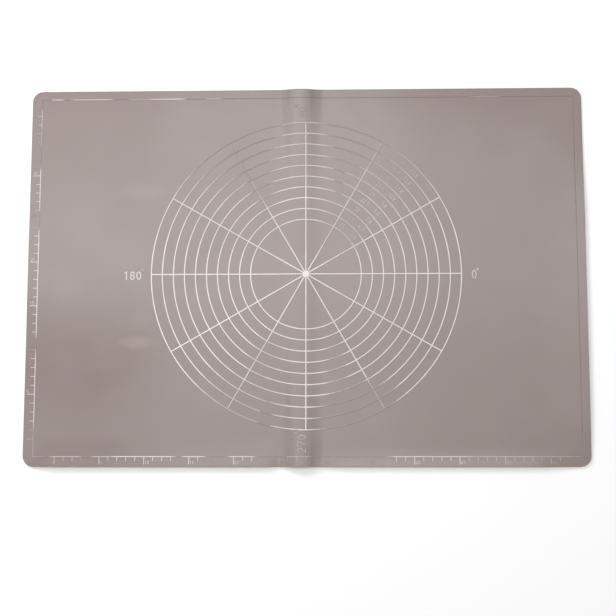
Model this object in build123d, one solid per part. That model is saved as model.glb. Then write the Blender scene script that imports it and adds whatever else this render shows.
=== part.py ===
from build123d import *
from math import atan, cos, degrees, floor, radians, sin
import os

# Silicone baking mat with a printed layout, in millimetres.
# X runs along the long side, Y away from the user, Z up. The origin is on the table, under the mat's middle.

# Sheet
mat_length = 630.0
mat_width = 430.0
mat_thickness = 1.0
corner_radius = 12.0
rim_round_share = 0.3  # of the thickness, on the outer edges above and below

# Fold: a low rounded ridge along Y, left by storing the mat folded in half
fold_line_x = -6.5
ridge_half_width = 26.0
ridge_height = 4.0
crest_share = 0.5  # of the bend's two radii, how much goes to the crest

# Print
ink_thickness = 0.15
print_shift_x = 0.9
print_shift_y = 0.6

# Frame line around the print
frame_inset = 10.5
frame_line_width = 0.9

# Sizing rings
smallest_ring_diameter = 125.0
ring_diameter_step = 25.0
ring_frame_clearance = 25.0
ring_line_width = 1.3

# Rays from the middle
ray_count = 12
ray_line_width = 1.3
centre_dot_diameter = 7.0

# Rulers, in centimetres
ruler_pitch = 10.0  # one centimetre
long_mark_step = 5
bottom_ruler_end_margin = 24.0
side_ruler_end_margin = 19.0
mark_length = 4.5
mark_width = 0.7
long_mark_length = 8.0
long_mark_width = 0.9

# Numbers, drawn with strokes of one width
digit_width_share = 0.56  # of the digit's height
digit_stroke_share = 0.13
digit_gap_share = 0.16
hook_share = 0.23  # of the digit's height, where an open loop's ends stop
eight_top_share = 0.96  # of the digit's width, for the upper loop of an eight
eight_overlap_share = 1.4  # of the stroke, how far the loops of an eight share it
ruler_digit_height = 3.8
ruler_digit_gap = 1.3
ring_digit_height = 4.6
ring_number_angle = 46.0
ring_number_spread = 8.8  # from the middle of a ring's two numbers to the middle of each
inch = 25.4
angle_digit_height = 10.0
level_number_gap = 11.5
level_number_drop = 1.2
upright_number_gap = 5.5
upright_number_shift = 4.5
degree_mark_diameter = 2.4

# Room that cutting tools and section blocks reach past what they cut
overrun = 5.0

# Sizes worked out from the ones above
half_length = mat_length / 2
half_width = mat_width / 2
strip_left_x = fold_line_x - ridge_half_width
strip_right_x = fold_line_x + ridge_half_width
frame_length = mat_length - 2 * frame_inset
frame_width = mat_width - 2 * frame_inset
frame_left_x = print_shift_x - frame_length / 2
frame_bottom_y = print_shift_y - frame_width / 2
bottom_ruler_units = floor((frame_length - 2 * bottom_ruler_end_margin) / ruler_pitch)
side_ruler_units = floor((frame_width - 2 * side_ruler_end_margin) / ruler_pitch)
bottom_ruler_zero_x = print_shift_x - bottom_ruler_units * ruler_pitch / 2
side_ruler_zero_y = print_shift_y - side_ruler_units * ruler_pitch / 2
largest_ring_room = frame_width - 2 * ring_frame_clearance
ring_count = 1 + floor((largest_ring_room - smallest_ring_diameter) / ring_diameter_step)
ring_diameters = [smallest_ring_diameter + i * ring_diameter_step for i in range(ring_count)]
ring_pitch = ring_diameter_step / 2


# Sheet

def outline():
    """The mat's outline: a rectangle with round corners."""
    return RectangleRounded(mat_length, mat_width, corner_radius)


def region(low_x, high_x):
    """A rectangle across the whole mat between two places on X."""
    middle = (low_x + high_x) / 2
    return Pos(middle, 0) * Rectangle(high_x - low_x, mat_width + 2 * overrun)


LEFT = region(-half_length - overrun, strip_left_x)
FOLD = region(strip_left_x, strip_right_x)
RIGHT = region(strip_right_x, half_length + overrun)


def ridge_path(lift):
    """One line of the ridge's section, lifted square to the sheet: foot arc, crest arc, foot arc."""
    turn = 2 * atan(ridge_height / ridge_half_width)
    radii_sum = ridge_half_width / sin(turn)
    crest_radius = crest_share * radii_sum + lift
    foot_radius = (1 - crest_share) * radii_sum - lift
    start = (-ridge_half_width, lift)
    rise = JernArc(start, (1, 0), foot_radius, degrees(turn))
    crest = JernArc(rise @ 1, rise % 1, crest_radius, -2 * degrees(turn))
    fall = JernArc(crest @ 1, crest % 1, foot_radius, degrees(turn))
    return [rise, crest, fall]


def ridge_band(low, high):
    """The ridge between two heights above the sheet's underside, as long as the mat is wide."""
    below = ridge_path(low)
    above = ridge_path(high)
    ends = [Line(below[0] @ 0, above[0] @ 0), Line(below[-1] @ 1, above[-1] @ 1)]
    section = make_face(Curve() + below + above + ends)
    standing = Plane(origin=(fold_line_x, 0, 0), x_dir=(1, 0, 0), z_dir=(0, -1, 0))
    return extrude(standing * section, amount=half_width, both=True)


def rounded_rim(solid, is_outer):
    """Rounds the edges of a piece of the sheet that lie on the mat's rim."""
    rim = ShapeList(e for e in solid.edges() if is_outer(e))
    return fillet(rim, rim_round_share * mat_thickness)


def on_rim(edge):
    """Whether an edge runs along the mat's rim, not up its thickness or across a joint face."""
    middle = edge @ 0.5
    ends = [edge @ 0, edge @ 1]
    upright = abs(ends[0].Z - ends[1].Z) > mat_thickness / 2 and abs(ends[0].X - ends[1].X) < mat_thickness / 2
    along_joint = all(
        min(abs(p.X - strip_left_x), abs(p.X - strip_right_x)) < mat_thickness / 2 for p in [*ends, middle]
    )
    return not upright and not along_joint


def flat_part(side):
    """One flat half of the sheet, from the ridge's foot to the mat's short edge."""
    return rounded_rim(extrude(outline() & side, amount=mat_thickness), on_rim)


def fold_strip():
    """The ridge between the flat halves."""
    return rounded_rim(ridge_band(0, mat_thickness), on_rim)


# Print, drawn flat and then given the ink's thickness on the sheet

INK_ON_FOLD = ridge_band(mat_thickness, mat_thickness + ink_thickness)


def printed(marks, side):
    """Marks of the print on one part of the sheet, as solids of ink."""
    cut = marks & side
    if side is not FOLD:
        return Pos(0, 0, mat_thickness) * extrude(cut, amount=ink_thickness)
    tall = extrude(cut, amount=ridge_height + mat_thickness + overrun)
    return tall & INK_ON_FOLD


def bar(low_x, low_y, high_x, high_y):
    """An upright rectangle between two corners."""
    middle = ((low_x + high_x) / 2, (low_y + high_y) / 2)
    return Pos(*middle) * Rectangle(high_x - low_x, high_y - low_y)


def ring(diameter):
    """One sizing ring, its line centred on the diameter."""
    radius = diameter / 2
    outer = Circle(radius + ring_line_width / 2)
    return Pos(print_shift_x, print_shift_y) * (outer - Circle(radius - ring_line_width / 2))


def centre_dot():
    """The dot in which the rays meet."""
    return Pos(print_shift_x, print_shift_y) * Circle(centre_dot_diameter / 2)


def rays(rings):
    """The rays by their angles, from the centre dot to the largest ring, broken where a ring crosses them."""
    reach = ring_diameters[-1] / 2
    line = Pos(reach / 2, 0) * Rectangle(reach, ray_line_width)
    crossed = [centre_dot(), *rings]
    angles = [i * 360 / ray_count for i in range(ray_count)]
    return {a: Pos(print_shift_x, print_shift_y) * Rot(0, 0, a) * line - crossed for a in angles}


def frame_side(name):
    """One side of the frame line. The long sides take the corners."""
    w = frame_line_width / 2
    left, right = frame_left_x, frame_left_x + frame_length
    bottom, top = frame_bottom_y, frame_bottom_y + frame_width
    sides = {
        "bottom": (left - w, bottom - w, right + w, bottom + w),
        "top": (left - w, top - w, right + w, top + w),
        "left": (left - w, bottom + w, left + w, top - w),
        "right": (right - w, bottom + w, right + w, top - w),
    }
    return bar(*sides[name])


def mark_size(count):
    """Length and width of one ruler mark."""
    return (long_mark_length, long_mark_width) if count % long_mark_step == 0 else (mark_length, mark_width)


def bottom_marks():
    """The near ruler's marks, which run outwards from the frame line."""
    top = frame_bottom_y - frame_line_width / 2
    marks = []
    for count in range(bottom_ruler_units + 1):
        length, width = mark_size(count)
        x = bottom_ruler_zero_x + count * ruler_pitch
        marks.append(bar(x - width / 2, top - length, x + width / 2, top))
    return Sketch() + marks


def side_marks():
    """The left ruler's marks, which run outwards from the frame line."""
    right = frame_left_x - frame_line_width / 2
    marks = []
    for count in range(side_ruler_units + 1):
        length, width = mark_size(count)
        y = side_ruler_zero_y + count * ruler_pitch
        marks.append(bar(right - length, y - width / 2, right, y + width / 2))
    return Sketch() + marks


# Digits, each drawn in a cell whose lower left corner is the origin

def eight(w, h, stroke):
    """Two loops, one on the other, which share the stroke at the waist."""
    upper = w * eight_top_share / 2
    lower = (h + eight_overlap_share * stroke) / 2 - upper
    loops = [(h - upper, upper), (lower, lower)]
    rings = [Pos(w / 2, y) * (Circle(radius) - Circle(radius - stroke)) for y, radius in loops]
    return rings[0] + rings[1]


def digit_shape(digit, height):
    """One digit of a height, as a face: a long loop or its halves, with bars and slanting strokes."""
    h = height
    w = digit_width_share * h
    stroke = digit_stroke_share * h
    half = stroke / 2
    if digit == ".":
        return bar(0, 0, stroke, stroke)
    if digit == "1":
        stem = bar(w / 2 - half, 0, w / 2 + half, h)
        return stem + trace(Line((w / 2, h - half), (half, h - hook_share * h)), line_width=stroke)
    if digit == "4":
        slant = trace(Line((w - half, h), (half, hook_share * h)), line_width=stroke)
        crossbar = bar(0, hook_share * h - half, w, hook_share * h + half)
        return slant - bar(0, h, w, h + stroke) + crossbar + bar(w - stroke, 0, w, h)
    if digit == "7":
        slant = trace(Line((w - half, h - half), (w / 3, 0)), line_width=stroke)
        return slant - bar(0, -stroke, w, 0) + bar(0, h - stroke, w, h)
    if digit == "8":
        return eight(w, h, stroke)
    loop = SlotOverall(h, w) - SlotOverall(h - 2 * stroke, w - 2 * stroke)
    loop = Pos(w / 2, h / 2) * Rot(0, 0, 90) * loop
    low, high = hook_share * h, h - hook_share * h
    under, over = h / 2 - half, h / 2 + half
    waist = bar(half, under, w - half, over)
    if digit == "0":
        return loop
    if digit == "2":
        cap = loop & bar(0, over, w, h)
        slant = trace(Line((w - half, over), (half, half)), line_width=stroke)
        return cap - bar(0, over, w / 2, high) + slant + bar(0, 0, w, stroke)
    if digit == "3":
        return loop - bar(0, low, w / 2, high) + bar(w / 3, under, w - half, over)
    if digit == "5":
        bowl = (loop & bar(0, 0, w, under)) - bar(0, low, w / 2, under)
        return bowl + bar(0, under, w, over) + bar(0, under, stroke, h) + bar(0, h - stroke, w, h)
    if digit == "6":
        return loop - bar(w / 2, over, w, high) + waist
    return loop - bar(0, low, w / 2, under) + waist


def digit_advance(digit, height):
    """The width that a digit takes in a number, with the gap after it."""
    width = digit_stroke_share if digit == "." else digit_width_share
    return (width + digit_gap_share) * height


def number(text, height):
    """A plain number, its lower left corner at the origin."""
    digits = []
    x = 0
    for digit in text:
        digits.append(Pos(x, 0) * digit_shape(digit, height))
        x += digit_advance(digit, height)
    return Sketch() + digits


def number_width(text, height):
    """The width of a number from its first stroke to its last."""
    return sum(digit_advance(digit, height) for digit in text) - digit_gap_share * height


def bottom_numbers():
    """The near ruler's numbers, each to the right of its long mark."""
    low = frame_bottom_y - frame_line_width / 2 - long_mark_length
    numbers = []
    for count in range(long_mark_step, bottom_ruler_units + 1, long_mark_step):
        x = bottom_ruler_zero_x + count * ruler_pitch + long_mark_width / 2 + ruler_digit_gap / 2
        numbers.append(Pos(x, low) * number(str(count), ruler_digit_height))
    return Sketch() + numbers


def side_numbers():
    """The left ruler's numbers, each just past its long mark."""
    low = frame_left_x - frame_line_width / 2 - long_mark_length
    numbers = []
    for count in range(long_mark_step, side_ruler_units + 1, long_mark_step):
        y = side_ruler_zero_y + count * ruler_pitch + long_mark_width / 2 + ruler_digit_gap / 2
        numbers.append(Pos(low, y) * number(str(count), ruler_digit_height))
    return Sketch() + numbers


def ring_number(text, radius, along):
    """One of a ring's two numbers, turned to follow it, so far clockwise from the middle of the two."""
    turn = ring_number_angle - degrees(along / radius)
    corner = Pos(-number_width(text, ring_digit_height) / 2, -ring_digit_height / 2)
    place = Rot(0, 0, turn) * Pos(radius, 0) * Rot(0, 0, -90) * corner
    return Pos(print_shift_x, print_shift_y) * place * number(text, ring_digit_height)


def ring_numbers():
    """The rings' diameters in centimetres and in inches, each pair just inside its ring."""
    numbers = []
    for diameter in ring_diameters[1:]:
        radius = (diameter - ring_pitch) / 2
        numbers.append(ring_number(f"{diameter / ruler_pitch:g}", radius, -ring_number_spread))
        numbers.append(ring_number(f"{diameter / inch:.1f}", radius, ring_number_spread))
    return Sketch() + numbers


def angle_number(text, past_end, gap, off_ray, turn=0):
    """An angle beside the end of its ray, with its degree mark, drawn level and turned about the rings' middle."""
    height = angle_digit_height
    width = number_width(text, height)
    reach = ring_diameters[-1] / 2 + gap
    start = Pos(reach if past_end else -reach - width, off_ray - height / 2)
    stroke = digit_stroke_share * degree_mark_diameter
    mark_radius = degree_mark_diameter / 2
    mark = Circle(mark_radius) - Circle(mark_radius - stroke)
    mark_place = Pos(width + mark_radius, height + mark_radius)
    place = Pos(print_shift_x, print_shift_y) * Rot(0, 0, turn) * start
    return place * (number(text, height) + mark_place * mark)


# Nodes

def sheet_nodes():
    """The three parts of the sheet."""
    return {
        "mat_left_half": flat_part(LEFT),
        "mat_fold_strip": fold_strip(),
        "mat_right_half": flat_part(RIGHT),
    }


def ring_nodes(rings):
    """Each ring's stretch on either half, and all their stretches on the fold."""
    nodes = {}
    for i, shape in enumerate(rings, start=1):
        nodes[f"ring_{i:02d}_left"] = printed(shape, LEFT)
        nodes[f"ring_{i:02d}_right"] = printed(shape, RIGHT)
    nodes["rings_on_fold"] = printed(Sketch() + rings, FOLD)
    return nodes


def ray_nodes(rings):
    """Each ray on its half, named by its angle, and what lies on the fold."""
    nodes = {}
    lines = rays(rings)
    for angle, line in lines.items():
        if angle % 180 == 90:
            continue
        side = RIGHT if cos(radians(angle)) > 0 else LEFT
        nodes[f"ray_{angle:03.0f}"] = printed(line, side)
    nodes["rays_on_fold"] = printed(Sketch() + list(lines.values()), FOLD)
    nodes["centre_dot"] = printed(centre_dot(), FOLD)
    return nodes


def frame_nodes():
    """The frame line, side by side."""
    bottom, top = frame_side("bottom"), frame_side("top")
    return {
        "frame_left": printed(frame_side("left"), LEFT),
        "frame_right": printed(frame_side("right"), RIGHT),
        "frame_top_left": printed(top, LEFT),
        "frame_top_right": printed(top, RIGHT),
        "frame_bottom_left": printed(bottom, LEFT),
        "frame_bottom_right": printed(bottom, RIGHT),
        "frame_on_fold": printed(bottom + top, FOLD),
    }


def ruler_nodes():
    """The rulers' marks and numbers."""
    marks = bottom_marks()
    numbers = bottom_numbers()
    return {
        "side_ruler_marks": printed(side_marks(), LEFT),
        "side_ruler_numbers": printed(side_numbers(), LEFT),
        "bottom_ruler_marks_left": printed(marks, LEFT),
        "bottom_ruler_marks_right": printed(marks, RIGHT),
        "bottom_ruler_marks_on_fold": printed(marks, FOLD),
        "bottom_ruler_numbers_left": printed(numbers, LEFT),
        "bottom_ruler_numbers_right": printed(numbers, RIGHT),
        "bottom_ruler_numbers_on_fold": printed(numbers, FOLD),
    }


def number_nodes():
    """The numbers beside the rings and in them."""
    level = (level_number_gap, -level_number_drop)
    upright = (upright_number_gap, upright_number_shift, 90)
    return {
        "angle_0": printed(angle_number("0", True, *level), RIGHT),
        "angle_90": printed(angle_number("90", True, *upright), FOLD),
        "angle_180": printed(angle_number("180", False, *level), LEFT),
        "angle_270": printed(angle_number("270", False, *upright), FOLD),
        "ring_numbers": printed(ring_numbers(), RIGHT),
    }


def write_nodes():
    """Writes each node to its own file."""
    os.makedirs("parts", exist_ok=True)
    rings = [ring(d) for d in ring_diameters]
    groups = [sheet_nodes(), ring_nodes(rings), ray_nodes(rings), frame_nodes(), ruler_nodes(), number_nodes()]
    for group in groups:
        for name, shape in group.items():
            export_step(Compound(label=name, children=list(shape.solids())), f"parts/{name}.step")


write_nodes()
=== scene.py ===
"""Silicone baking mat with a printed layout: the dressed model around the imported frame, in metres."""

import logging
import math
from collections.abc import Iterable, Mapping, Sequence
from dataclasses import dataclass
from enum import Enum

import bpy
from mathutils import Matrix, Vector

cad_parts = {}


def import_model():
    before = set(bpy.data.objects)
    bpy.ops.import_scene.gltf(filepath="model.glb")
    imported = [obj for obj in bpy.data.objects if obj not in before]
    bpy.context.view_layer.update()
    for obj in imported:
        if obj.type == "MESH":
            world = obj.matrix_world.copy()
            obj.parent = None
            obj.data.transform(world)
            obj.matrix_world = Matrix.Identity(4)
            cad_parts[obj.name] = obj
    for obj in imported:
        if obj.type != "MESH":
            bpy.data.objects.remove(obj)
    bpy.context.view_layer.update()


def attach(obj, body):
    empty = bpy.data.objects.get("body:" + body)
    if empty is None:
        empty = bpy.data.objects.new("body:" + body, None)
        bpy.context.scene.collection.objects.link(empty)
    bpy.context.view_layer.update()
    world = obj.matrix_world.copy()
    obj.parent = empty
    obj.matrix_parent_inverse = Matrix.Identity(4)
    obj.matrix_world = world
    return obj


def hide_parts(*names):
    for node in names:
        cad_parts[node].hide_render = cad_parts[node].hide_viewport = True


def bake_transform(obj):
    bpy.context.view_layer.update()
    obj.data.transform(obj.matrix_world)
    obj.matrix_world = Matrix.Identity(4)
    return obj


LOG = logging.getLogger("baking_mat")
MM = 0.001
FLAT_PLACE = "flat_place"
PRINT_CENTRE = (0.9 * MM, 0.6 * MM)

Pair = tuple[float, float]
Triple = tuple[float, float, float]
Path = list[Pair]
Socket = bpy.types.NodeSocket
Feed = Socket | bpy.types.Material | float | int | bool | Sequence[float] | None


class Body(Enum):
    """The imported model's moving bodies."""

    LEFT = "left_half"
    RIGHT = "right_half"


class Slot(Enum):
    """The record's material slots."""

    SHEET = "sheet"
    PRINT = "print"


class Edge(Enum):
    """The mat's edges, as the axis that crosses the edge and the side of the mat that it is on."""

    NEAR = (1, -1)
    LEFT = (0, -1)
    RIGHT = (0, 1)


# Node trees


@dataclass(frozen=True)
class SocketSpec:
    """One named input or output of a node group."""

    name: str
    kind: str
    default: float | int | None = None


class TreeBuilder:
    """Adds nodes to one node tree, for geometry or for shading."""

    def __init__(self, tree: bpy.types.NodeTree) -> None:
        """Keeps the tree that the nodes go into."""
        self.tree = tree

    def join(self, feed: Feed, node: bpy.types.Node, key: str | int) -> None:
        """Feeds one input of a node.

        Args:
            feed: another node's output, a plain value, or None to leave the input as it is.
            node: the node.
            key: the input's name or place.
        """
        if isinstance(feed, Socket):
            self.tree.links.new(feed, node.inputs[key])
        elif feed is not None:
            node.inputs[key].default_value = feed

    def add(self, kind: str, feeds: Mapping[str | int, Feed] | None = None, **settings: object) -> bpy.types.Node:
        """Adds one node.

        Args:
            kind: the node's type.
            feeds: what goes into its inputs, by name or place.
            settings: the node's own properties.

        Returns:
            The new node.
        """
        node = self.tree.nodes.new(kind)
        for name, value in settings.items():
            setattr(node, name, value)
        for key, feed in (feeds or {}).items():
            self.join(feed, node, key)
        return node

    def out(self, kind: str, feeds: Mapping[str | int, Feed] | None = None, **settings: object) -> Socket:
        """Adds one node and returns its first output."""
        return self.add(kind, feeds, **settings).outputs[0]

    def math(self, operation: str, *values: Feed) -> Socket:
        """Adds a math node and returns its result."""
        return self.out("ShaderNodeMath", dict(enumerate(values)), operation=operation)

    def ramp(self, value: Feed, before: Pair, after: Pair, smooth: bool = True) -> Socket:
        """Maps a value from one range to another and holds it at both ends.

        Args:
            value: what is mapped.
            before: where the range starts and ends.
            after: what those ends become.
            smooth: whether the ends are eased.

        Returns:
            The mapped value.
        """
        feeds = dict(zip(("Value", "From Min", "From Max", "To Min", "To Max"), (value, *before, *after)))
        style = "SMOOTHSTEP" if smooth else "LINEAR"
        return self.out("ShaderNodeMapRange", feeds, interpolation_type=style)

    def mix(self, share: Feed, first: Feed, second: Feed) -> Socket:
        """Mixes two values: the first at share 0, the second at share 1."""
        return self.out("ShaderNodeMix", {0: share, 2: first, 3: second})

    def mix_colours(self, share: Feed, first: Feed | Triple, second: Feed | Triple) -> Socket:
        """Mixes two colours: the first at share 0, the second at share 1."""
        first, second = (x if isinstance(x, Socket) else (*x, 1.0) for x in (first, second))
        return self.add("ShaderNodeMix", {0: share, 6: first, 7: second}, data_type="RGBA").outputs[2]

    def xyz(self, x: Feed = 0.0, y: Feed = 0.0, z: Feed = 0.0) -> Socket:
        """Puts three values together as a vector."""
        return self.out("ShaderNodeCombineXYZ", {"X": x, "Y": y, "Z": z})

    def noise(self, place: Socket, scale: Feed, detail: float, seed: Feed = None) -> Socket:
        """Adds a noise.

        Args:
            place: where it is read.
            scale: how many of its waves there are to a metre.
            detail: how many finer noises it holds.
            seed: its fourth coordinate, or None for a noise without one.

        Returns:
            The noise, from about 0 to 1.
        """
        style = "3D" if seed is None else "4D"
        feeds = {"Vector": place, "Scale": scale, "Detail": detail, **({} if seed is None else {"W": seed})}
        return self.out("ShaderNodeTexNoise", feeds, noise_dimensions=style)

    def flat_place(self) -> Socket:
        """The shaded point's place on the flat mat, which the piece carries wherever it bends."""
        return self.add("ShaderNodeAttribute", attribute_name=FLAT_PLACE).outputs["Vector"]

    def group(self, tree: bpy.types.NodeTree, feeds: Mapping[str, Feed]) -> Socket:
        """Places a node group with its own values.

        Args:
            tree: the group.
            feeds: what goes into its inputs, by name.

        Returns:
            The group's first output.
        """
        kind = "GeometryNodeGroup" if tree.bl_idname == "GeometryNodeTree" else "ShaderNodeGroup"
        node = self.add(kind, node_tree=tree)
        for key, feed in feeds.items():
            self.join(feed, node, key)
        return node.outputs[0]


class Group(TreeBuilder):
    """A node group with named inputs and one named output."""

    def __init__(self, name: str, kind: str, inputs: Iterable[SocketSpec], output: SocketSpec) -> None:
        """Makes the group with its two end nodes.

        Args:
            name: what the group is called.
            kind: GeometryNodeTree or ShaderNodeTree.
            inputs: its inputs, in order.
            output: its output.
        """
        super().__init__(bpy.data.node_groups.new(name, kind))
        for in_out, spec in [*(("INPUT", spec) for spec in inputs), ("OUTPUT", output)]:
            socket = self.tree.interface.new_socket(spec.name, in_out=in_out, socket_type=spec.kind)
            if spec.default is not None:
                socket.default_value = spec.default
        self.inputs = self.add("NodeGroupInput").outputs
        self.end = self.add("NodeGroupOutput")

    def give(self, result: Feed) -> bpy.types.NodeTree:
        """Joins the result to the group's output and returns the tree."""
        self.join(result, self.end, 0)
        return self.tree


GEOMETRY = SocketSpec("Geometry", "NodeSocketGeometry")


def size_sockets(sizes: Mapping[str, float | int]) -> list[SocketSpec]:
    """A named input for each size, a whole number where the size is a count."""
    kinds = {int: "NodeSocketInt", float: "NodeSocketFloat"}
    return [SocketSpec(name, kinds[type(size)], size) for name, size in sizes.items()]


class ShapeTree(Group):
    """A Geometry Nodes tree that makes one piece."""

    def __init__(self, name: str, sizes: Mapping[str, float | int], fed: bool = False) -> None:
        """Makes the tree with its sizes as inputs, and one for a mesh that it works on where it is fed."""
        specs = [*([GEOMETRY] if fed else []), *size_sockets(sizes), SocketSpec("Material", "NodeSocketMaterial")]
        super().__init__(name, "GeometryNodeTree", specs, GEOMETRY)

    def scatter(self, points: Socket, shape: Socket, **feeds: Feed) -> Socket:
        """Puts a copy of a shape on each point, with any Rotation or Scale, and makes the copies real."""
        placed = self.out("GeometryNodeInstanceOnPoints", {"Points": points, "Instance": shape, **feeds})
        return self.out("GeometryNodeRealizeInstances", {0: placed})

    def row(self, count: Socket) -> tuple[Socket, Socket]:
        """Adds as many points as are counted, and returns them and their numbers."""
        return self.out("GeometryNodePoints", {"Count": count}), self.out("GeometryNodeInputIndex")

    def dressed(self, geometry: Socket) -> bpy.types.NodeTree:
        """Ends the tree: realizes instances, sets the material and joins the output.

        Args:
            geometry: the piece.

        Returns:
            The tree.
        """
        real = self.out("GeometryNodeRealizeInstances", {0: geometry})
        feeds = {"Geometry": real, "Material": self.inputs["Material"]}
        return self.give(self.out("GeometryNodeSetMaterial", feeds))


def carrier(
    name: str, tree: bpy.types.NodeTree, material: bpy.types.Material, mesh: bpy.types.Mesh | None = None
) -> bpy.types.Object:
    """Makes an object with a Geometry Nodes tree as its modifier.

    Args:
        name: the piece's name.
        tree: the tree, which has a Material input.
        material: the material for that input.
        mesh: what the tree works on, if anything.

    Returns:
        The object, its modifier not yet applied.
    """
    piece = bpy.data.objects.new(name, mesh or bpy.data.meshes.new(name))
    bpy.context.scene.collection.objects.link(piece)
    modifier = piece.modifiers.new("Shape", "NODES")
    modifier.node_group = tree
    for item in tree.interface.items_tree:
        if item.item_type == "SOCKET" and item.in_out == "INPUT" and item.name == "Material":
            modifier[item.identifier] = material
    return piece


def settled(piece: bpy.types.Object) -> bpy.types.Object:
    """Makes what an object's modifiers give its plain mesh.

    Args:
        piece: an object with modifiers.

    Returns:
        The same object, with a plain mesh and no modifiers.
    """
    bpy.context.view_layer.update()
    evaluated = piece.evaluated_get(bpy.context.evaluated_depsgraph_get())
    mesh = bpy.data.meshes.new_from_object(evaluated)
    piece.modifiers.clear()
    piece.data = mesh
    mesh.name = piece.name
    return piece


# How the mat lies


@dataclass(frozen=True)
class Curl:
    """A stretch of one edge that stands a little off the table."""

    edge: Edge
    middle: float
    half_length: float
    fades: Pair
    depth: float
    rise: float


@dataclass(frozen=True)
class Lie:
    """The mat's size and how it lies: the ridge left by folding it, its curled edges and its faint waves."""

    length: float = 630 * MM
    width: float = 430 * MM
    thickness: float = 1.0 * MM
    fold_line: float = -6.5 * MM
    ridge_left_width: float = 25 * MM
    ridge_right_width: float = 29 * MM
    ridge_height_at_edges: float = 4.1 * MM
    ridge_height_in_middle: float = 1.1 * MM
    ridge_rise_power: float = 4.0
    wave_height: float = 0.25 * MM
    waves_per_metre: float = 7.0
    wave_seed: float = 3.0
    curls: tuple[Curl, ...] = (
        Curl(Edge.NEAR, -168 * MM, 145 * MM, (34 * MM, 24 * MM), 34 * MM, 2.3 * MM),
        Curl(Edge.NEAR, 150 * MM, 160 * MM, (60 * MM, 60 * MM), 22 * MM, 2.0 * MM),
        Curl(Edge.RIGHT, -40 * MM, 200 * MM, (100 * MM, 100 * MM), 60 * MM, 1.9 * MM),
        Curl(Edge.LEFT, 10 * MM, 70 * MM, (40 * MM, 40 * MM), 12 * MM, 0.6 * MM),
    )

    def group(self) -> bpy.types.NodeTree:
        """Builds the group that lays flat geometry on the table.

        Returns:
            A geometry group that raises each point by the mat's height there.
        """
        sizes = {
            "Fold line": self.fold_line,
            "Ridge left width": self.ridge_left_width,
            "Ridge right width": self.ridge_right_width,
            "Ridge height at edges": self.ridge_height_at_edges,
            "Ridge height in middle": self.ridge_height_in_middle,
            "Ridge rise power": self.ridge_rise_power,
            "Mat half width": self.width / 2,
            "Wave height": self.wave_height,
            "Waves per metre": self.waves_per_metre,
            "Wave seed": self.wave_seed,
        }
        tree = Group("Lie of the mat", "GeometryNodeTree", [GEOMETRY, *size_sockets(sizes)], GEOMETRY)
        place = tree.out("GeometryNodeInputPosition")
        axes = tree.add("ShaderNodeSeparateXYZ", {0: place}).outputs
        height = tree.math("ADD", self._ridge(tree, axes), self._waves(tree, axes))
        for curl in self.curls:
            height = tree.math("ADD", height, self._curl(tree, axes, curl))
        feeds = {"Geometry": tree.inputs["Geometry"], "Name": FLAT_PLACE, "Value": place}
        marked = tree.out("GeometryNodeStoreNamedAttribute", feeds, data_type="FLOAT_VECTOR")
        return tree.give(tree.out("GeometryNodeSetPosition", {0: marked, "Offset": tree.xyz(z=height)}))

    @staticmethod
    def _ridge(tree: Group, axes: Sequence[Socket]) -> Socket:
        """Works out the ridge: a foot arc, a crest arc and a foot arc, lowest in the middle of the mat.

        Args:
            tree: the group that it is built in.
            axes: the point's x, y and z on the flat mat.

        Returns:
            Its height there.
        """
        aside = tree.math("SUBTRACT", axes[0], tree.inputs["Fold line"])
        is_right = tree.math("GREATER_THAN", aside, 0.0)
        reach = tree.mix(is_right, tree.inputs["Ridge left width"], tree.inputs["Ridge right width"])
        far = tree.math("DIVIDE", tree.math("ABSOLUTE", aside), reach)
        near = tree.math("MAXIMUM", tree.math("SUBTRACT", 1.0, far), 0.0)
        on_crest = tree.math("GREATER_THAN", near, 0.5)
        to_end = tree.math("MINIMUM", near, tree.math("SUBTRACT", 1.0, near))
        bow = tree.math("MULTIPLY", tree.math("MULTIPLY", to_end, to_end), 2.0)
        flip = tree.math("SUBTRACT", 1.0, tree.math("MULTIPLY", on_crest, 2.0))
        section = tree.math("ADD", on_crest, tree.math("MULTIPLY", flip, bow))
        along = tree.math("DIVIDE", tree.math("ABSOLUTE", axes[1]), tree.inputs["Mat half width"])
        share = tree.math("POWER", along, tree.inputs["Ridge rise power"])
        top = tree.mix(share, tree.inputs["Ridge height in middle"], tree.inputs["Ridge height at edges"])
        return tree.math("MULTIPLY", section, top)

    @staticmethod
    def _waves(tree: Group, axes: Sequence[Socket]) -> Socket:
        """Works out the faint waves all over.

        Args:
            tree: the group that it is built in.
            axes: the point's x, y and z on the flat mat.

        Returns:
            Their height there, from nothing to the wave height.
        """
        at = tree.inputs
        noise = tree.noise(tree.xyz(axes[0], axes[1]), at["Waves per metre"], 0.0, at["Wave seed"])
        return tree.math("MULTIPLY", noise, at["Wave height"])

    def _curl(self, tree: Group, axes: Sequence[Socket], curl: Curl) -> Socket:
        """Works out one curled stretch of an edge.

        Args:
            tree: the group that it is built in.
            axes: the point's x, y and z on the flat mat.
            curl: the stretch.

        Returns:
            Its height there.
        """
        across, side = curl.edge.value
        edge = (self.width if across else self.length) / 2
        outward = tree.math("MULTIPLY", axes[across], float(side))
        # The eased ramp is half way up at the edge itself
        rise = tree.ramp(outward, (edge - curl.depth, edge + curl.depth), (0.0, 2 * curl.rise))
        start, end = curl.middle - curl.half_length, curl.middle + curl.half_length
        along = axes[1 - across]
        begun = tree.ramp(along, (start, start + curl.fades[0]), (0.0, 1.0))
        unended = tree.ramp(along, (end - curl.fades[1], end), (1.0, 0.0))
        return tree.math("MULTIPLY", rise, tree.math("MULTIPLY", begun, unended))


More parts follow.
